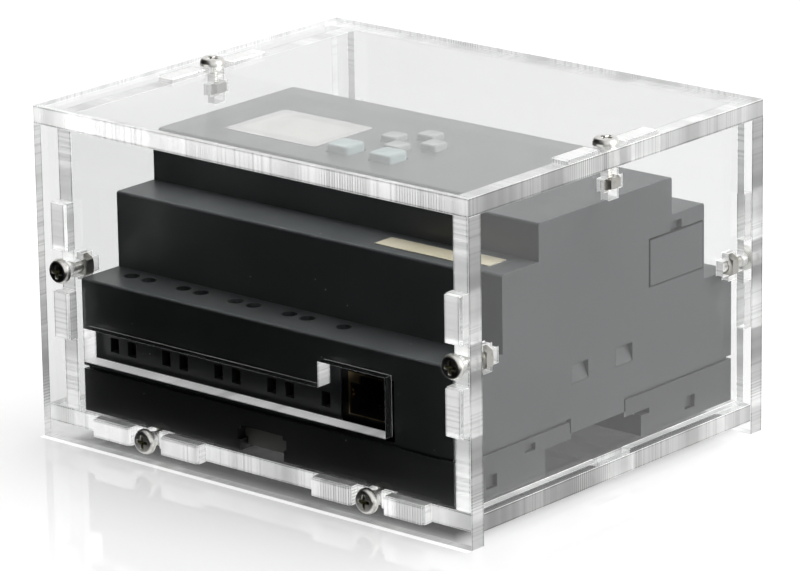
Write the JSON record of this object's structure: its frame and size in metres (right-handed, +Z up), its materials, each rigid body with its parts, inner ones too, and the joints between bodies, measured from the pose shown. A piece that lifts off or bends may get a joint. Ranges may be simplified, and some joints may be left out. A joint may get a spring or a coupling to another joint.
{
  "type": "clear screwed electronics case with logic module",
  "caption": "Clear acrylic case of slotted sheets held by screws and captive nuts, with a stepped DIN-rail logic module inside and a front window for its wires and network port.",
  "frame": {"origin": "centre of the footprint on the table; the bottom edges of the front and back panels are at z=0", "axes": "+Z up, -Y out of the front panel with the window, +X to the right seen from the front"},
  "size_m": [0.122, 0.1036, 0.0771],
  "materials": {
    "clear_sheet": "polished clear acrylic with laser-cut edges",
    "plated_steel": "bright zinc plate",
    "cover_plastic": "fine moulded grain",
    "base_plastic": "fine moulded grain",
    "lens": "polished",
    "teal_key": "satin",
    "grey_key": "satin",
    "clamp_brass": "plain",
    "terminal_steel": "plated",
    "socket_shield": "tarnished plate",
    "gold_contacts": "gold plate",
    "label_tan": "matt",
    "board_green": "solder mask",
    "relay_black": "moulded",
    "display_unit": "glass over a white light box",
    "rubber_pad": "matt"
  },
  "bodies": {
    "case": {"lid": "clear_sheet", "front_panel": "clear_sheet", "back_panel": "clear_sheet", "left_panel": "clear_sheet", "right_panel": "clear_sheet", "base_panel": "clear_sheet", "case_screws": "plated_steel", "case_nuts": "plated_steel", "module_cover": "cover_plastic", "module_base": "base_plastic", "display_window": "lens", "terminal_clamps": "clamp_brass", "terminal_screws": "terminal_steel", "network_socket": "socket_shield", "socket_contacts": "gold_contacts", "rating_label": "label_tan", "expansion_cap": "cover_plastic", "power_board": "board_green", "relays": "relay_black", "main_board": "board_green", "lcd_module": "display_unit", "key_pad": "rubber_pad"},
    "esc_key": {"esc_key": "teal_key"},
    "ok_key": {"ok_key": "teal_key"},
    "up_key": {"up_key": "grey_key"},
    "down_key": {"down_key": "grey_key"},
    "left_key": {"left_key": "grey_key"},
    "right_key": {"right_key": "grey_key"},
    "din_latch": {"din_latch": "base_plastic"}
  },
  "joints": [
    {"name": "esc_key_press", "type": "slide", "parent": "case", "child": "esc_key", "axis": [0, 0, -1], "range_m": [0, 0.0008], "stiffness_N_per_m": 1500},
    {"name": "ok_key_press", "type": "slide", "parent": "case", "child": "ok_key", "axis": [0, 0, -1], "range_m": [0, 0.0008], "stiffness_N_per_m": 1500},
    {"name": "up_key_press", "type": "slide", "parent": "case", "child": "up_key", "axis": [0, 0, -1], "range_m": [0, 0.0008], "stiffness_N_per_m": 1500},
    {"name": "down_key_press", "type": "slide", "parent": "case", "child": "down_key", "axis": [0, 0, -1], "range_m": [0, 0.0008], "stiffness_N_per_m": 1500},
    {"name": "left_key_press", "type": "slide", "parent": "case", "child": "left_key", "axis": [0, 0, -1], "range_m": [0, 0.0008], "stiffness_N_per_m": 1500},
    {"name": "right_key_press", "type": "slide", "parent": "case", "child": "right_key", "axis": [0, 0, -1], "range_m": [0, 0.0008], "stiffness_N_per_m": 1500},
    {"name": "din_latch_slide", "type": "slide", "parent": "case", "child": "din_latch", "axis": [0, -1, 0], "range_m": [0, 0.003], "stiffness_N_per_m": 800}
  ]
}
